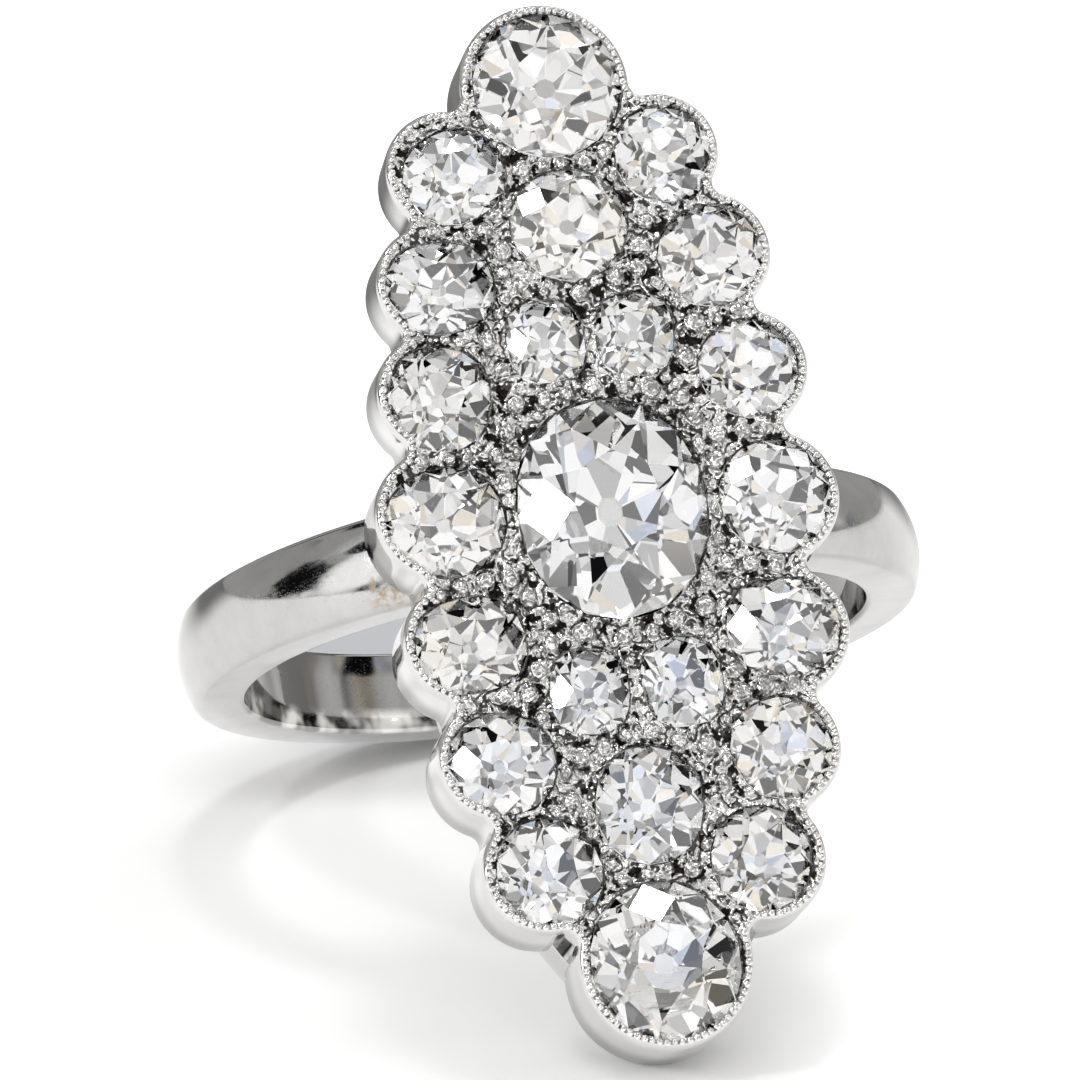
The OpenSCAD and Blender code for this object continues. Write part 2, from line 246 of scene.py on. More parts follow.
def rim_line(inset, arc_steps=34, hollow_steps=9):
    """Points of the scalloped outline, drawn in by inset, and each point's foot shift."""
    points, shifts = [], []
    for i in range(BORDER):
        middle, radius = scallop(i)
        before, after = hollow((i - 1) % BORDER) - middle, hollow(i) - middle
        start = math.atan2(before[1], before[0])
        turn = (start - math.atan2(after[1], after[0])) % math.tau
        own = np.array(SCALLOPS[i][3:])
        for k in range(arc_steps):
            points.append(middle + polar(start - turn * k / arc_steps, radius - inset))
            shifts.append(own)
        gap = hollow(i)
        to_own, to_next = middle - gap, scallop((i + 1) % BORDER)[0] - gap
        start = math.atan2(to_own[1], to_own[0])
        turn = (math.atan2(to_next[1], to_next[0]) - start) % math.tau
        other = np.array(SCALLOPS[(i + 1) % BORDER][3:])
        for k in range(hollow_steps):
            share = k / hollow_steps
            points.append(gap + polar(start + turn * share, NOTCH_R + inset))
            shifts.append(own * (1 - share) + other * share)
    return np.array(points), np.array(shifts)


def stone_share(points, stone, grow=0.0):
    """How far out each point lies, as a share of the stone's outline there."""
    _, across, along, width, length, square, turn = stone
    a = math.radians(-turn)
    x, y = points[:, 0] - across, points[:, 1] - along
    x, y = x * math.cos(a) - y * math.sin(a), x * math.sin(a) + y * math.cos(a)
    return (
        np.abs(x / (width / 2 + grow)) ** square + np.abs(y / (length / 2 + grow)) ** square
    ) ** (1 / square)


def inside(points, line):
    """Which points lie inside a closed line."""
    result = np.zeros(len(points), bool)
    for (x1, y1), (x2, y2) in zip(line, np.roll(line, -1, axis=0)):
        if y1 == y2:
            continue
        crosses = (points[:, 1] > min(y1, y2)) & (points[:, 1] <= max(y1, y2))
        crossing = x1 + (points[:, 1] - y1) * (x2 - x1) / (y2 - y1)
        result ^= crosses & (points[:, 0] < crossing)
    return result


def distance(points, line):
    """Distance of each point from the nearest point of a line."""
    return np.array([np.hypot(*(line - p).T).min() for p in points])


# Pieces of the soldered metal

def make_hoop():
    """Section turned round the finger, then drawn in towards the back."""
    dome_steps, edge_steps, inner_steps, turn_steps = 8, 7, 5, 240
    side_flat_from, inner_flat_to = 0.6, 0.5
    rise = HOOP_T - HOOP_EDGE_T
    round_z = HOOP_W_HEAD / 2 - HOOP_ROUND
    round_at = FINGER_R + HOOP_EDGE_T
    dome_r = (round_z**2 + rise**2 - HOOP_ROUND**2) / (2 * (rise - HOOP_ROUND))
    dome_at = FINGER_R + HOOP_T - dome_r
    blend = math.atan2(round_z, round_at - dome_at)
    side = []
    for k in range(dome_steps + 1):
        a = blend * k / dome_steps
        side.append((dome_at + dome_r * math.cos(a), dome_r * math.sin(a)))
    for k in range(1, edge_steps + 1):
        a = blend + (math.pi / 2 - blend) * k / edge_steps
        side.append((round_at + HOOP_ROUND * math.cos(a),
                     round_z + HOOP_ROUND * math.sin(a)))
    inner = HOOP_W_HEAD / 2 - INNER_ROUND
    side.append((FINGER_R + side_flat_from, HOOP_W_HEAD / 2))
    for k in range(inner_steps + 1):
        a = math.pi / 2 * (1 + k / inner_steps)
        side.append((FINGER_R + INNER_ROUND * (1 + math.cos(a)),
                     inner + INNER_ROUND * math.sin(a)))
    side.append((FINGER_R, inner_flat_to))
    section = side + [(r, -z) for r, z in reversed(side[1:])]
    pick()
    bpy.ops.mesh.primitive_circle_add(vertices=len(section), radius=1)
    hoop = bpy.context.object
    hoop.name = "hoop"
    for vert, (r, z) in zip(hoop.data.vertices, section):
        vert.co = (r, 0, z)
    bpy.ops.object.mode_set(mode="EDIT")
    bpy.ops.mesh.select_all(action="SELECT")
    bpy.ops.mesh.spin(steps=turn_steps, angle=math.tau, center=(0, 0, 0), axis=(0, 0, 1))
    bpy.ops.object.mode_set(mode="OBJECT")
    outward(hoop, 1e-4)
    reach = FINGER_R + HOOP_T
    for vert in hoop.data.vertices:
        back = (vert.co.y + reach) / (2 * reach)
        vert.co.z *= 1 + (HOOP_W_BACK / HOOP_W_HEAD - 1) * back
    place(hoop, RING)
    smooth(hoop, 60)
    return hoop


def make_wall():
    """Scalloped outer wall with its rounded, polished rim."""
    # Level along the head's axis, and how far the outline is drawn in there
    section = [
        (-WALL_D, 0.42), (-WALL_D, 0.06), (-2.17, 0.015), (-2.1, 0.0), (-1.4, 0.0),
        (-0.6, 0.0), (-0.05, 0.0), (0.05, 0.006), (0.12, 0.02), (0.18, 0.042),
        (0.225, 0.068), (0.25, 0.095), (0.255, 0.12), (0.235, 0.14), (0.1, 0.17),
        (-0.2, 0.2), (-1.4, 0.32),
    ]
    rings = []
    for level, inset in section:
        points, shifts = rim_line(inset)
        deep = min(0.0, level) / -WALL_D
        points = points + shifts * deep
        rings.append([Vector((x, y, level)) for x, y in points])
    return loft("outer_wall", rings, HEAD)


def make_under_frame():
    """Oval wire between hoop and head, its edges rounded."""
    # Level along the head's axis, and how far the oval is drawn in there
    section = [
        (-1.35, 0.02), (-1.5, 0.0), (-3.0, 0.0), (-3.12, 0.03), (-3.18, 0.09),
        (-FRAME_D, 0.18), (-FRAME_D, 0.72), (-3.18, 0.81), (-3.12, 0.87),
        (-3.0, FRAME_W), (-1.5, FRAME_W), (-1.35, 0.88),
    ]
    steps = 220
    rings = []
    for level, inset in section:
        rings.append([
            Vector((
                (FRAME_A - inset) * math.cos(math.tau * k / steps),
                FRAME_UP + (FRAME_B - inset) * math.sin(math.tau * k / steps),
                level,
            ))
            for k in range(steps)
        ])
    return loft("under_frame", rings, HEAD)


def plate(name, cell, edge, share, top, bottom):
    """Sheet inside the wall with an opening for each stone: a grid, cut to the outline
    and drawn onto the openings' edges, shaped on top and extruded down."""
    grid_w, grid_l = 13.0, 29.4
    drawn_cells = 0.75
    pick()
    bpy.ops.mesh.primitive_grid_add(
        x_subdivisions=round(grid_w / cell), y_subdivisions=round(grid_l / cell), size=1)
    piece = bpy.context.object
    piece.name = name
    piece.data.transform(Matrix.Diagonal((grid_w, grid_l, 1, 1)))
    flat = np.array([vert.co[:2] for vert in piece.data.vertices])
    keep = inside(flat, rim_line(edge)[0])
    for stone in STONES:
        grow = SEAT_GAP if share == 1 else 0.0
        out = stone_share(flat, stone, grow) / share
        reach = share * min(stone[3], stone[4]) / 2
        keep &= out > 1 - drawn_cells * cell / reach
        near = keep & (out < 1)
        middle = np.array(stone[1:3])
        flat[near] = middle + (flat[near] - middle) / out[near, None]
    heights = top(flat, keep)
    bpy.ops.object.mode_set(mode="EDIT")
    bpy.ops.mesh.select_all(action="DESELECT")
    mesh = bmesh.from_edit_mesh(piece.data)
    for vert, kept, (x, y), z in zip(mesh.verts, keep, flat, heights):
        vert.co = (x, y, z)
        vert.select = not kept
    mesh.select_flush(False)
    bmesh.update_edit_mesh(piece.data)
    bpy.ops.mesh.select_mode(type="VERT")
    bpy.ops.mesh.delete(type="VERT")
    bpy.ops.mesh.select_all(action="SELECT")
    bpy.ops.mesh.extrude_region_move()
    mesh = bmesh.from_edit_mesh(piece.data)
    for vert in mesh.verts:
        if vert.select:
            vert.co.z = bottom
    bmesh.update_edit_mesh(piece.data)
    outward(piece, 1e-5)
    place(piece, HEAD)
    smooth(piece, 50)
    return piece


def rough_height(flat, keep):
    """Relief of the bed: level with the rim round the border, lower between the
    stones, pushed up against their edges and hammered all over."""
    floor, rim_up, lip_up, middle_down, hammered = 0.06, 0.16, 0.05, 0.05, 0.09
    rim_reach, rim_slope, lip_w, middle_from = 0.75, 0.4, 0.14, 0.3
    coarse, fine = 0.42, 0.17
    heights = np.full(len(flat), BED_H)
    spots = flat[keep]
    from_rim = distance(spots, rim_line(0)[0][::2])
    to_stone = np.full(len(spots), 9.0)
    for stone in STONES:
        out = stone_share(spots, stone, SEAT_GAP)
        to_stone = np.minimum(to_stone, (out - 1) * min(stone[3], stone[4]) / 2)
    rim = np.clip((rim_reach - from_rim) / rim_slope, 0, 1)
    lip = np.clip(1 - to_stone / lip_w, 0, 1)
    middle = np.clip(to_stone / middle_from, 0, 1)
    rough = np.array([
        0.6 * noise.noise(Vector((x / coarse, y / coarse, 3.1)))
        + 0.5 * noise.noise(Vector((x / fine, y / fine, 8.7)))
        for x, y in spots
    ])
    heights[keep] = (
        floor + rim_up * rim + lip_up * lip * (1 - rim) - middle_down * middle * (1 - rim)
        + hammered * rough * (1 - 0.5 * rim)
    )
    return heights


def make_bed():
    """Worked metal between the stones, open round each girdle."""
    return plate("bed", cell=0.075, edge=0.125, share=1, top=rough_height, bottom=-1.1)


def make_seat_plate():
    """Ledges under the stones, open behind each of them."""
    return plate("seat_plate", cell=0.15, edge=0.3, share=SEAT_BACK,
                 top=lambda flat, keep: np.full(len(flat), -1.05), bottom=-BED_D)


def bead(name, radius, subdivisions):
    pick()
    bpy.ops.mesh.primitive_ico_sphere_add(subdivisions=subdivisions, radius=radius)
    piece = bpy.context.object
    piece.name = name
    return piece


def scatter(name, model, spots, matrix):
    """One mesh with a copy of the model at each spot, a place, a turn and a size."""
    count = len(model.data.vertices)
    base = np.array([vert.co[:] for vert in model.data.vertices])
    faces = [tuple(face.vertices) for face in model.data.polygons]
    verts, polygons = [], []
    for k, (where, turn, size) in enumerate(spots):
        turned = base @ np.array(turn.to_matrix()).T
        verts.extend(map(tuple, turned * np.array(size) + np.array(where)))
        polygons.extend(tuple(v + k * count for v in face) for face in faces)
    mesh = bpy.data.meshes.new(name)
    mesh.from_pydata(verts, [], polygons)
    piece = bpy.data.objects.new(name, mesh)
    bpy.context.scene.collection.objects.link(piece)
    bpy.data.objects.remove(model)
    place(piece, matrix)
    smooth(piece, 180)
    return piece


def make_millegrain():
    """Row of small beads along the rim, next to the stones."""
    line = rim_line(MILLEGRAIN_IN)[0]
    steps = np.hypot(*(np.roll(line, -1, axis=0) - line).T)
    total = steps.sum()
    count = round(total / MILLEGRAIN_PITCH)
    walked = np.concatenate([[0], np.cumsum(steps)])
    closed = np.vstack([line, line[:1]])
    rng = random.Random(7)
    spots = []
    for k in range(count):
        at = total * k / count
        x, y = (np.interp(at, walked, closed[:, j]) for j in (0, 1))
        size = rng.uniform(0.88, 1.1)
        turn = Matrix.Rotation(rng.uniform(0, math.tau), 3, "Z").to_euler()
        aside, ahead = (rng.uniform(-MILLEGRAIN_STRAY, MILLEGRAIN_STRAY) for _ in range(2))
        where = (x + aside, y + ahead, MILLEGRAIN_Z)
        spots.append((where, turn, (size, size, size * 1.1)))
    return scatter("millegrain", bead("grain_model", MILLEGRAIN_R, 2), spots, HEAD)


def make_grains():
    """Larger beads raised from the bed between the stones."""
    rng = random.Random(21)
    outline = rim_line(GRAIN_IN)[0]
    tries = np.array([
        [rng.uniform(-6, 6), rng.uniform(-14, 14)] for _ in range(GRAIN_TRIES)
    ])
    tries = tries[inside(tries, outline)]
    clear = np.full(len(tries), 9.0)
    for stone in STONES:
        out = stone_share(tries, stone)
        clear = np.minimum(clear, (out - 1) * (stone[3] + stone[4]) / 4)
    chosen = []
    for spot, room in sorted(zip(tries.tolist(), clear), key=lambda pair: -pair[1]):
        if room < GRAIN_R_LEAST:
            break
        radius = min(GRAIN_R_MOST, max(GRAIN_R_LEAST, room * GRAIN_ROOM))
        radius *= rng.uniform(0.85, 1.0)
        if all(math.dist(spot, other) > GRAIN_SPACING * (radius + other_r)
               for other, other_r in chosen):
            chosen.append((spot, radius))
    spots = []
    for (x, y), radius in chosen:
        turn = Matrix.Rotation(rng.uniform(0, math.tau), 3, "Z").to_euler()
        size = [radius * rng.uniform(0.85, 1.1) for _ in range(3)]
        spots.append(((x, y, BED_H + 0.02 - 0.1 * radius), turn, size))
    return scatter("grains", bead("grain_model", 1, 2), spots, HEAD)


def cut_centre_pocket(hoop):
    """Lets the centre stone's pavilion into the hoop, where it runs under the head."""
    _, across, along, width, length, _, _ = STONES[CENTRE]
    pick()
    bpy.ops.mesh.primitive_cylinder_add(
        vertices=48, radius=1, depth=POCKET_D, end_fill_type="NGON")
    cutter = bpy.context.object
    cutter.data.transform(
        Matrix.Diagonal((width * POCKET_SHARE, length * POCKET_SHARE, 1, 1)))
    cutter.data.transform(Matrix.Translation((across, along, -POCKET_D / 2)))
    place(cutter, HEAD)
    pick(hoop)
    cut = hoop.modifiers.new("pocket", "BOOLEAN")
    cut.operation = "DIFFERENCE"
    cut.solver = "EXACT"
    cut.object = cutter
    bpy.ops.object.modifier_apply(modifier=cut.name)
    bpy.data.objects.remove(cutter)
    smooth(hoop, 50)


# Shader node groups

class Nodes:
    """Short way to add and link nodes of one tree."""

    def __init__(self, tree):
        self.tree = tree

    def add(self, kind, **inputs):
        node = self.tree.nodes.new(kind)
        for name, value in inputs.items():
            self.set(node, name.replace("_", " "), value)
        return node

    def set(self, node, name, value):
        socket = node.inputs[int(name) if name.isdigit() else name]
        if isinstance(value, bpy.types.NodeSocket):
            self.tree.links.new(value, socket)
        else:
            socket.default_value = value

    def math(self, operation, a, b=None, clamp=False):
        node = self.tree.nodes.new("ShaderNodeMath")
        node.operation = operation
        node.use_clamp = clamp
        self.set(node, "0", a)
        if b is not None:
            self.set(node, "1", b)
        return node.outputs[0]

    def vector(self, operation, a, b):
        node = self.tree.nodes.new("ShaderNodeVectorMath")
        node.operation = operation
        self.set(node, "0", a)
        self.set(node, "1", b)
        number = operation in ("DOT_PRODUCT", "DISTANCE", "LENGTH")
        return node.outputs["Value" if number else "Vector"]

    def times(self, a, b):
        return self.math("MULTIPLY", a, b)

    def plus(self, a, b):
        return self.math("ADD", a, b)

    def rest(self, a):
        """What is left to one."""
        return self.math("SUBTRACT", 1.0, a)

    def along(self, a, way):
        return self.vector("DOT_PRODUCT", a, way)

    def length(self, a):
        return self.vector("LENGTH", a, (0, 0, 0))

    def mix(self, factor, a, b):
        node = self.tree.nodes.new("ShaderNodeMix")
        node.data_type = "RGBA"
        for index, value in ((0, factor), (6, a), (7, b)):
            self.set(node, str(index), value)
        return node.outputs[2]

    def noise(self, where, scale, detail=3.0, roughness=0.55):
        node = self.add("ShaderNodeTexNoise", Vector=where, Scale=scale, Detail=detail,
                        Roughness=roughness)
        return node.outputs["Fac"]

    def ramp(self, value, low, high):
        node = self.tree.nodes.new("ShaderNodeMapRange")
        node.interpolation_type = "SMOOTHSTEP"
        self.set(node, "Value", value)
        self.set(node, "From Min", low)
        self.set(node, "From Max", high)
        return node.outputs["Result"]


FLOAT, VECTOR = "NodeSocketFloat", "NodeSocketVector"


def group(name, inputs, outputs):
    """New shader node group with these inputs and outputs."""
    tree = bpy.data.node_groups.new(name, "ShaderNodeTree")
    for label, kind, default in inputs:
        socket = tree.interface.new_socket(label, in_out="INPUT", socket_type=kind)
        if default is not None:
            socket.default_value = default
    for label, kind in outputs:
        tree.interface.new_socket(label, in_out="OUTPUT", socket_type=kind)
    entry = tree.nodes.new("NodeGroupInput")
    leave = tree.nodes.new("NodeGroupOutput")
    return tree, Nodes(tree), entry.outputs, leave.inputs


def make_polish_group():
    """Fine scratches and soft waves of hand-polished metal."""
    tree, n, given, out = group(
        "hand_polish",
        [("Position", VECTOR, None), ("Scratches", FLOAT, 0.5), ("Waves", FLOAT, 0.5)],
        [("Height", FLOAT), ("Haze", FLOAT)])
    stretch = (1.0, 22.0, 22.0)
    wave_scale, haze_scale = 330.0, 700.0
    lines = []
    for turn, scale in (((0.3, 0.9, 0.2), 900.0), ((1.2, 0.1, 0.7), 1300.0)):
        mapping = n.add("ShaderNodeMapping", Vector=given["Position"], Rotation=turn,
                        Scale=stretch)
        lines.append(n.ramp(n.noise(mapping.outputs[0], scale, 2.0), 0.62, 0.72))
    scratch = n.times(n.plus(lines[0], lines[1]), given["Scratches"])
    waves = n.times(n.noise(given["Position"], wave_scale, 2.0), given["Waves"])
    haze = n.noise(given["Position"], haze_scale, 5.0, 0.65)
    link = n.tree.links.new
    link(n.math("SUBTRACT", waves, n.times(scratch, 0.06)), out["Height"])
    link(n.plus(n.times(haze, 0.7), n.times(scratch, 0.25)), out["Haze"])
    return tree


def make_graver_group():
    """Chips and curling cuts of the graver, darker in their cuts and pits."""
    tree, n, given, out = group(
        "graver_marks",
        [("Position", VECTOR, None), ("Scale", FLOAT, 1500.0), ("Cuts", FLOAT, 8.0),
         ("Tarnish", FLOAT, 0.5)],
        [("Mask", FLOAT), ("Shine", FLOAT), ("Height", FLOAT)])
    chip_share, grit_share, pit_share = 5.0, 6.0, 1.8
    bend = n.noise(given["Position"], given["Scale"], 2.0, 0.5)
    curl = n.math("SINE", n.times(n.times(bend, given["Cuts"]), math.tau))
    curl = n.plus(n.times(curl, 0.5), 0.5)
    chip_scale = n.times(given["Scale"], chip_share)
    chips = n.add("ShaderNodeTexVoronoi", Vector=given["Position"], Scale=chip_scale)
    off = n.vector("SUBTRACT", given["Position"], chips.outputs["Position"])
    lean = n.vector("SUBTRACT", chips.outputs["Color"], (0.5, 0.5, 0.5))
    slope = n.times(n.along(off, lean), chip_scale)
    grit = n.noise(given["Position"], n.times(given["Scale"], grit_share), 2.0, 0.5)
    height = n.plus(n.times(curl, 0.7), n.plus(n.times(slope, 1.6), n.times(grit, 0.5)))
    cut = n.rest(n.ramp(n.plus(curl, n.times(grit, 1.4)), 0.84, 0.93))
    pits = n.noise(given["Position"], n.times(given["Scale"], pit_share), 3.0, 0.6)
    dark = n.math("MAXIMUM", n.times(cut, 0.92), n.ramp(pits, 0.55, 0.575))
    link = n.tree.links.new
    link(n.math("MULTIPLY", dark, given["Tarnish"], clamp=True), out["Mask"])
    link(n.ramp(chips.outputs["Distance"], 0.75, 0.2), out["Shine"])
    link(height, out["Height"])
    return tree


# Materials

# Tones of the metal and of the stones
# Painted shade and painted light: the hoop's tones are painted darker and the wall's
# lighter, though both are the one metal
HOOP_SHADED_BRIGHT = (0.58, 0.575, 0.565, 1)
HOOP_SHADED_DULL = (0.46, 0.455, 0.44, 1)
HOOP_INSIDE_SHADE = (0.3, 0.295, 0.285, 1)
WALL_LIT_BRIGHT = (0.75, 0.745, 0.735, 1)
WALL_LIT_DULL = (0.62, 0.615, 0.6, 1)
BEAD_BRIGHT = (1.0, 0.99, 0.97, 1)
BEAD_DULL = (0.8, 0.795, 0.78, 1)
# Near black, for the dark of the cuts and pits and for the painted shade at the wall's foot
CREVICE_AND_SHADE_DARK = (0.02, 0.017, 0.014, 1)
PATINA = (0.42, 0.31, 0.2, 1)
STONE_CLEAR = (0.955, 0.957, 0.96, 1)
STONE_WARM = (0.93, 0.905, 0.86, 1)
DIAMOND_IOR = 2.42

# Light thrown through the stones onto the inside of the hoop: its tone, where it begins
# along the finger and where away from the head, in metres
THROWN_LIGHT = (0.6, 0.585, 0.55, 1)
THROWN_ALONG = (-0.0004, -0.0008)
THROWN_BACK = (0.001, 0.005)

# Brown trace at the solder joint: its middle on the head in millimetres, and its solid
# and its outer radius in metres
SOLDER_JOINT = (-5.5, -0.75, -3.5)
TRACE_REACH = (0.0003, 0.0009)

# Level below the rim where the shade on the wall's foot begins, in millimetres
FOOT_FROM = -0.7


def material(name):
    """New material with its nodes, its shader and the place on the piece."""
    made = bpy.data.materials.new(name)
    made.use_nodes = True
    nodes = Nodes(made.node_tree)
    shader = made.node_tree.nodes["Principled BSDF"]
    position = made.node_tree.nodes.new("ShaderNodeTexCoord").outputs["Object"]
    return made, nodes, shader, position


def use(nodes, tree, **inputs):
    """Outputs of a node group placed in a material with its own values."""
    node = nodes.tree.nodes.new("ShaderNodeGroup")
    node.node_tree = tree
    for name, value in inputs.items():
        nodes.set(node, name, value)
    return node.outputs


def hoop_inside(n, from_middle):
    """One on the inside of the hoop, nothing elsewhere."""
    from_axis = n.length(n.vector("CROSS_PRODUCT", from_middle, RING_AXIS))
    return n.rest(n.ramp(from_axis, FINGER_R * MM, (FINGER_R + 0.2) * MM))


def thrown_light(n, position, from_middle, within):
    """Patches of light inside the hoop, opposite the head."""
    lit = n.times(n.ramp(n.along(from_middle, RING_AXIS), *THROWN_ALONG),
                  n.ramp(n.along(from_middle, RING_BACK), *THROWN_BACK))
    patches = n.ramp(n.noise(position, 520.0, 3.0, 0.6), 0.46, 0.64)
    return n.times(n.times(lit, patches), within)


def solder_trace(n, position):
    """Broken patch of brown round the solder joint beside the head."""
    away = n.vector("DISTANCE", position, HEAD @ Vector(SOLDER_JOINT) * MM)
    specks = n.ramp(n.noise(position, 2600.0, 4.0, 0.7), 0.42, 0.6)
    return n.times(n.rest(n.ramp(away, *TRACE_REACH)), specks)


def foot_of_wall(n, position):
    """One at the wall's foot, which mirrors the shade under the head."""
    from_head = n.vector("SUBTRACT", position, HEAD.translation * MM)
    return n.ramp(n.along(from_head, HEAD_OUT), FOOT_FROM * MM, -WALL_D * MM)


def polished_platinum(name, polish, scratches, waves, bright, dull, foot_shade):
    """Mirror-like metal with a trace of brown at the solder joint beside the head."""
    made, n, shader, position = material(name)
    wear = use(n, polish, Position=position, Scratches=scratches, Waves=waves)
    from_middle = n.vector("SUBTRACT", position, Vector(REST_SHIFT) * MM)
    within = hoop_inside(n, from_middle)
    trace = solder_trace(n, position)
    foot = n.times(foot_of_wall(n, position), foot_shade)
    colour = n.mix(n.ramp(wear["Haze"], 0.2, 0.7), bright, dull)
    # Painted shade: the inside of the hoop is darker
    colour = n.mix(within, colour, HOOP_INSIDE_SHADE)
    colour = n.mix(n.times(trace, 0.8), colour, PATINA)
    # Painted shade: darker towards the wall's foot, and a little towards the frame's
    n.set(shader, "Base Color", n.mix(foot, colour, CREVICE_AND_SHADE_DARK))
    n.set(shader, "Roughness", n.plus(n.times(wear["Haze"], 0.16), n.times(trace, 0.25)))
    thrown = thrown_light(n, position, from_middle, within)
    n.set(shader, "Emission Color", n.mix(thrown, (0, 0, 0, 1), THROWN_LIGHT))
    shader.inputs["Emission Strength"].default_value = 1.0
    bump = n.add("ShaderNodeBump", Strength=0.35, Distance=0.00004, Height=wear["Height"])
    n.set(shader, "Normal", bump.outputs[0])
    shader.inputs["Metallic"].default_value = 1.0
    return made


def worked_platinum(name, graver, scale, cuts, darkening, depth):
    """Metal cut round the stones, dark in its crevices."""
    made, n, shader, position = material(name)
    marks = use(n, graver, Position=position, Scale=scale, Cuts=cuts, Tarnish=darkening)
    bright = n.mix(marks["Shine"], BEAD_DULL, BEAD_BRIGHT)
    n.set(shader, "Base Color", n.mix(marks["Mask"], bright, CREVICE_AND_SHADE_DARK))
    n.set(shader, "Roughness", n.plus(n.times(marks["Mask"], 0.3), 0.08))
    shader.inputs["Metallic"].default_value = 1.0
    bump = n.add("ShaderNodeBump", Strength=1.0, Distance=depth, Height=marks["Height"])
    n.set(shader, "Normal", bump.outputs[0])
    return made


def old_cut_diamond():
    """Clear stone, a trace warm here and there, its facets faintly worn."""
    made, n, shader, position = material("old_cut_diamond")
    warm = n.ramp(n.noise(position, 260.0, 0.0), 0.45, 0.75)
    n.set(shader, "Base Color", n.mix(warm, STONE_CLEAR, STONE_WARM))
    wear = n.ramp(n.noise(position, 2400.0, 1.0), 0.62, 0.8)
    n.set(shader, "Roughness", n.times(wear, 0.03))
    shader.inputs["IOR"].default_value = DIAMOND_IOR
    shader.inputs["Transmission Weight"].default_value = 1.0
    return made


# Table, light and camera

TABLE_TONE = (0.95, 0.95, 0.95, 1)
TABLE_GRAIN = (0.97, 0.97, 0.97, 1)
PAINTED_FAR_DARK = (0.2, 0.2, 0.2, 1)

# Shade on the table that is seen through the ring: its tone, its middle in millimetres,
# its form across and along the table, and its outer and its solid radius in metres
RING_SHADE = (0.55, 0.57, 0.6, 1)
RING_SHADE_MIDDLE = (-2.2, 19.2, 0.0)
RING_SHADE_FORM = (1.0, 0.6, 1.0)
RING_SHADE_REACH = (0.0064, 0.002)

# Place where the hoop stands, with no glow within the first radius and all of it past
# the second
HOOP_FOOT = (-2.5, 11.0, 0.0)
HOOP_FOOT_FORM = (1.0, 2.2, 1.0)
HOOP_FOOT_REACH = (0.0045, 0.0095)

# How far from the ring, in metres, and how straight behind it the table is painted dark in
# what mirrors it, and where the painted light on its right begins
DARK_AWAY = (0.02, 0.06)
DARK_STRAIGHT = (0.6, 0.85)
RIGHT_PAINTED_LIGHT = (0.0, 0.008)

# Painted glow of the table in what mirrors it, where it lies open, and what the painted
# light on its right adds to that
MIRRORED_GLOW = 0.24
OPEN_GLOW = 0.17
RIGHT_GLOW = 0.32


def table_spot(n, position, middle, form, reach):
    """Soft oval step on the table, from nothing at the first reach to one at the second."""
    off = n.vector("SUBTRACT", position, Vector(middle) * MM)
    return n.ramp(n.length(n.vector("MULTIPLY", off, form)), *reach)


def table_top():
    """White table, painted to glow a little in what mirrors it and painted dark there a
    short way behind the ring."""
    made, n, shader, position = material("white_table")
    seen = made.node_tree.nodes.new("ShaderNodeLightPath").outputs["Is Camera Ray"]
    unseen = n.rest(seen)
    white = n.mix(n.noise(position, 900.0, 3.0), TABLE_TONE, TABLE_GRAIN)
    away = n.length(position)
    straight = n.math("DIVIDE", n.along(position, (0, 1, 0)), away)
    # Painted dark in what mirrors it, a short way behind the ring
    far = n.times(n.ramp(away, *DARK_AWAY), n.ramp(straight, *DARK_STRAIGHT))
    far = n.times(far, unseen)
    shade = table_spot(n, position, RING_SHADE_MIDDLE, RING_SHADE_FORM, RING_SHADE_REACH)
    shade = n.times(shade, seen)
    white = n.mix(shade, white, RING_SHADE)
    n.set(shader, "Base Color", n.mix(far, white, PAINTED_FAR_DARK))
    clear = table_spot(n, position, HOOP_FOOT, HOOP_FOOT_FORM, HOOP_FOOT_REACH)
    open_table = n.times(n.times(seen, clear), n.rest(shade))
    # Painted light: the table, as seen, glows more to the right of the ring
    right_side = n.ramp(n.along(position, (1, 0, 0)), *RIGHT_PAINTED_LIGHT)
    lit = n.plus(n.times(right_side, RIGHT_GLOW), OPEN_GLOW)
    mirrored = n.times(n.times(unseen, n.rest(far)), MIRRORED_GLOW)
    n.set(shader, "Emission Color", (1.0, 1.0, 1.0, 1))
    n.set(shader, "Emission Strength", n.plus(mirrored, n.times(open_table, lit)))
    shader.inputs["Roughness"].default_value = 0.6
    return made


def make_table():
    pick()
    bpy.ops.mesh.primitive_plane_add(size=4.0)
    floor = bpy.context.object
    floor.name = "table"
    floor.data.materials.append(table_top())


# Tones of the studio
PANEL_DIM = (0.5, 0.5, 0.5, 1)
PANEL_BRIGHT = (1.2, 1.2, 1.2, 1)
PANEL_WARM = (1.0, 0.84, 0.6, 1)
PANEL_COOL = (0.55, 0.7, 1.0, 1)
WALL_BEHIND = (0.42, 0.415, 0.405, 1)
STRIP_LIGHT = (1.5, 1.5, 1.5, 1)
GAP_DARK = (0.006, 0.006, 0.007, 1)

# Ways from the ring to a strip light, to a black card beside the hoop and to the dark
# stand in front, and how near to it a way has to be, from its edge to its middle
STRIP_WAY = (-0.93, -0.25, 0.28)
STRIP_REACH = (0.955, 0.985)
CARD_WAY = (-0.965, 0.17, 0.19)
CARD_REACH = (1.001, 1.02)
STAND_WAY = (-0.2, -0.9, 0.36)
STAND_REACH = (0.985, 1.0)
STAND_DARK = 0.85

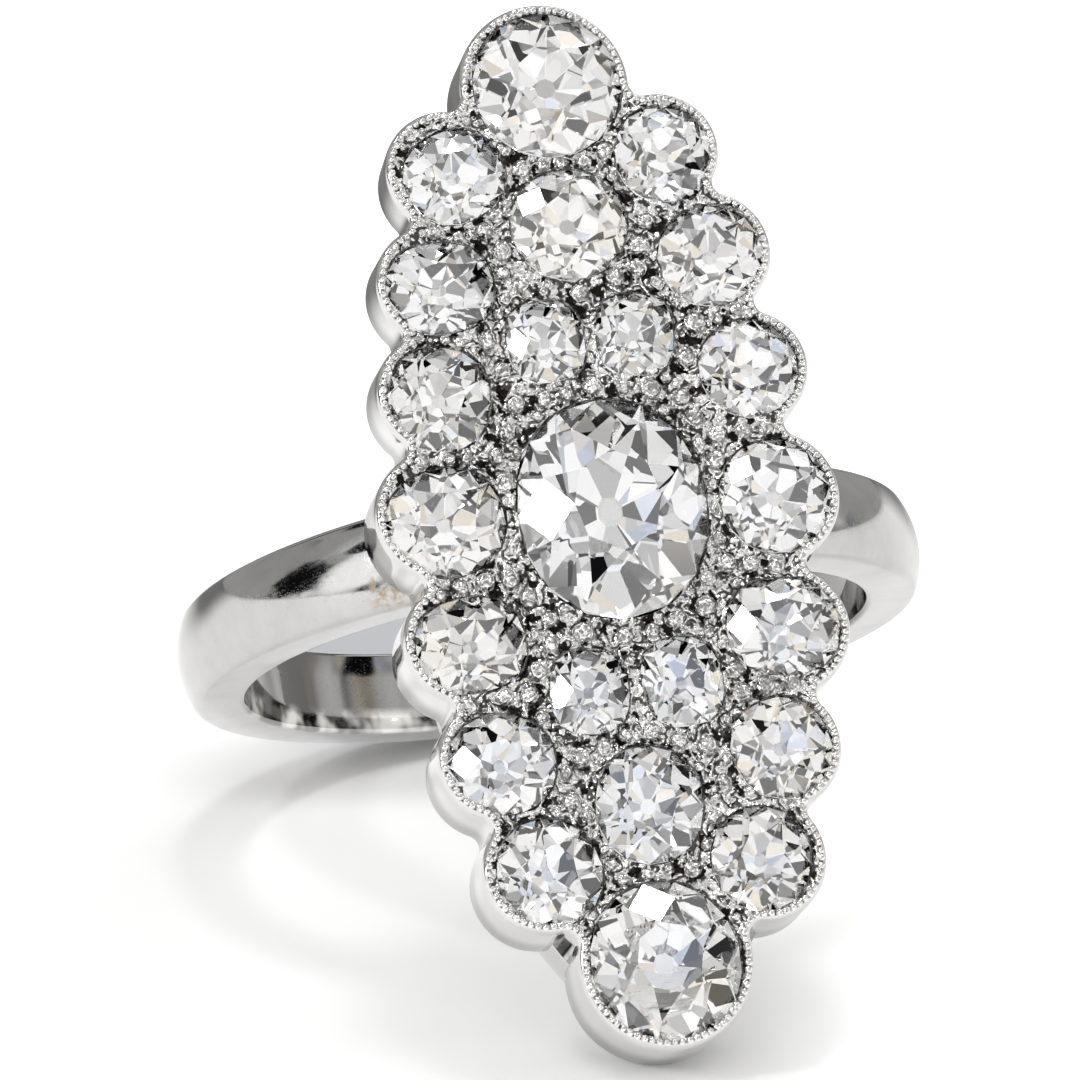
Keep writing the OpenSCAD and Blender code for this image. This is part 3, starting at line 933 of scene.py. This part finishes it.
# Small lamps, each where a crown facet of the stone that it is named for mirrors it,
# and a soft key light: the way from the ring, width in metres, and power in watts
LAMPS = [
    ("centre_glint", (-0.83, -0.29, 0.47), 0.08, 0.5),
    ("lower_tip_glint", (0.05, 0.23, 0.97), 0.08, 0.5),
    ("right_glint", (-0.54, 0.17, 0.83), 0.07, 0.4),
    ("low_left_glint", (-0.76, -0.32, 0.57), 0.05, 0.2),
    ("soft_key", (0.5, 0.45, 0.75), 0.36, 0.55),
]
LAMP_AWAY = 0.6
RING_MIDDLE = (0, 0, 0.012)


def panel_tones(n, way):
    """Panels of uneven brightness, a few of them warm or cool."""
    uneven = n.ramp(n.noise(way, 4.6, 1.0, 0.5), 0.35, 0.65)
    white = n.mix(uneven, PANEL_DIM, PANEL_BRIGHT)
    warm = n.noise(n.vector("ADD", way, (5.0, 0, 0)), 7.0, 0.0)
    white = n.mix(n.times(n.ramp(warm, 0.62, 0.67), 0.5), white, PANEL_WARM)
    cool = n.noise(n.vector("ADD", way, (0, 7.0, 0)), 8.0, 0.0)
    return n.mix(n.times(n.ramp(cool, 0.68, 0.71), 0.45), white, PANEL_COOL)


def toward(n, way, target, reach, ragged=None):
    """One where a way of the studio points at the target, with a ragged edge."""
    near = n.along(way, Vector(target).normalized())
    if ragged is not None:
        near = n.plus(near, ragged)
    return n.ramp(near, *reach)


def make_studio():
    """White studio with a few dark gaps between its panels, which the cut stones and
    the polished metal mirror."""
    world = bpy.data.worlds.new("studio")
    bpy.context.scene.world = world
    world.use_nodes = True
    n = Nodes(world.node_tree)
    sky = world.node_tree.nodes["Background"]
    way = world.node_tree.nodes.new("ShaderNodeTexCoord").outputs["Generated"]
    height = n.along(way, (0, 0, 1))
    behind = n.times(n.ramp(height, 0.88, 0.62), n.ramp(n.along(way, (0, 1, 0)), 0.0, 0.3))
    strip = toward(n, way, STRIP_WAY, STRIP_REACH)
    white = n.mix(n.times(behind, 0.95), panel_tones(n, way), WALL_BEHIND)
    white = n.mix(strip, white, STRIP_LIGHT)
    # No gaps low down beside the ring, nor in the strip light
    sideways = n.math("ABSOLUTE", n.along(way, (1, 0, 0)))
    low_aside = n.times(n.ramp(sideways, 0.45, 0.65), n.ramp(height, 0.6, 0.4))
    whole = n.math("MAXIMUM", n.times(behind, low_aside), strip)
    panels = n.math("MAXIMUM", n.ramp(n.noise(way, 2.6, 1.0, 0.4), 0.405, 0.465), whole)
    ragged = n.times(n.noise(way, 16.0, 3.0, 0.8), 0.06)
    card = toward(n, way, CARD_WAY, CARD_REACH, ragged)
    stand = toward(n, way, STAND_WAY, STAND_REACH, n.times(ragged, 0.5))
    panels = n.times(panels, n.rest(card))
    panels = n.times(panels, n.rest(n.times(stand, STAND_DARK)))
    n.set(sky, "Color", n.mix(panels, GAP_DARK, white))
    sky.inputs["Strength"].default_value = 1.0


def area_light(name, where, aim, width, power):
    """Square lamp at a place, turned to what it lights."""
    light = bpy.data.lights.new(name, "AREA")
    light.shape = "RECTANGLE"
    light.size = light.size_y = width
    light.energy = power
    lamp = bpy.data.objects.new(name, light)
    bpy.context.scene.collection.objects.link(lamp)
    lamp.location = where
    lamp.rotation_euler = (aim - where).to_track_quat("-Z", "Y").to_euler()


def make_light():
    make_studio()
    aim = Vector(RING_MIDDLE)
    for name, way, width, power in LAMPS:
        area_light(name, aim + Vector(way).normalized() * LAMP_AWAY, aim, width, power)
    bpy.context.scene.view_settings.view_transform = "Standard"


# The camera: the photograph's width and its long lens in the same pixels, its place in
# metres, and the ways that it has to its right, down and ahead
PHOTO_W = 1080
LENS_IN_PIXELS = 7007.78
FILM_W = 36.0
CAMERA_PLACE = (-0.04028, -0.17429277, 0.07451307)
CAMERA_RIGHT = (0.97619187, -0.21687518, 0.00381921)
CAMERA_DOWN = (-0.06971019, -0.33035344, -0.9412795)
CAMERA_AHEAD = (0.20540185, 0.91860316, -0.33760676)


def make_camera():
    """Camera at the photograph's angle, with its long lens."""
    camera = bpy.data.cameras.new("camera")
    camera.sensor_width = FILM_W
    camera.lens = FILM_W * LENS_IN_PIXELS / PHOTO_W
    camera.clip_start, camera.clip_end = 0.01, 20.0
    eye = bpy.data.objects.new("camera", camera)
    bpy.context.scene.collection.objects.link(eye)
    turn = Matrix((CAMERA_RIGHT, -Vector(CAMERA_DOWN), -Vector(CAMERA_AHEAD)))
    eye.matrix_world = Matrix.Translation(CAMERA_PLACE) @ turn.transposed().to_4x4()
    bpy.context.scene.camera = eye


# Assembly

def finish_piece(piece, finish):
    """Gives a piece of the soldered metal its finish and its place in the part."""
    piece.data.materials.clear()
    piece.data.materials.append(finish)
    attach(piece, "root")
    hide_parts("ring_mount")


def assemble():
    polish, graver = make_polish_group(), make_graver_group()
    hoop = make_hoop()
    cut_centre_pocket(hoop)
    finish_piece(hoop, polished_platinum(
        "polished_hoop", polish, scratches=0.5, waves=0.6,
        bright=HOOP_SHADED_BRIGHT, dull=HOOP_SHADED_DULL, foot_shade=0.0))
    finish_piece(make_wall(), polished_platinum(
        "polished_wall", polish, scratches=0.6, waves=1.0,
        bright=WALL_LIT_BRIGHT, dull=WALL_LIT_DULL, foot_shade=0.8))
    frame_finish = polished_platinum(
        "polished_frame", polish, scratches=0.6, waves=1.0,
        bright=WALL_LIT_BRIGHT, dull=WALL_LIT_DULL, foot_shade=0.15)
    finish_piece(make_under_frame(), frame_finish)
    finish_piece(make_bed(), worked_platinum(
        "worked_bed", graver, scale=1500.0, cuts=6.0, darkening=1.0, depth=0.00006))
    finish_piece(make_seat_plate(), frame_finish)
    finish_piece(make_millegrain(), worked_platinum(
        "rim_beads", graver, scale=2600.0, cuts=3.0, darkening=0.05, depth=0.00002))
    finish_piece(make_grains(), worked_platinum(
        "raised_beads", graver, scale=1700.0, cuts=6.0, darkening=0.5, depth=0.00004))
    diamond = old_cut_diamond()
    for name, *_ in STONES:
        bpy.data.objects[name].material_slots[0].material = diamond


assemble()
make_table()
make_light()
make_camera()
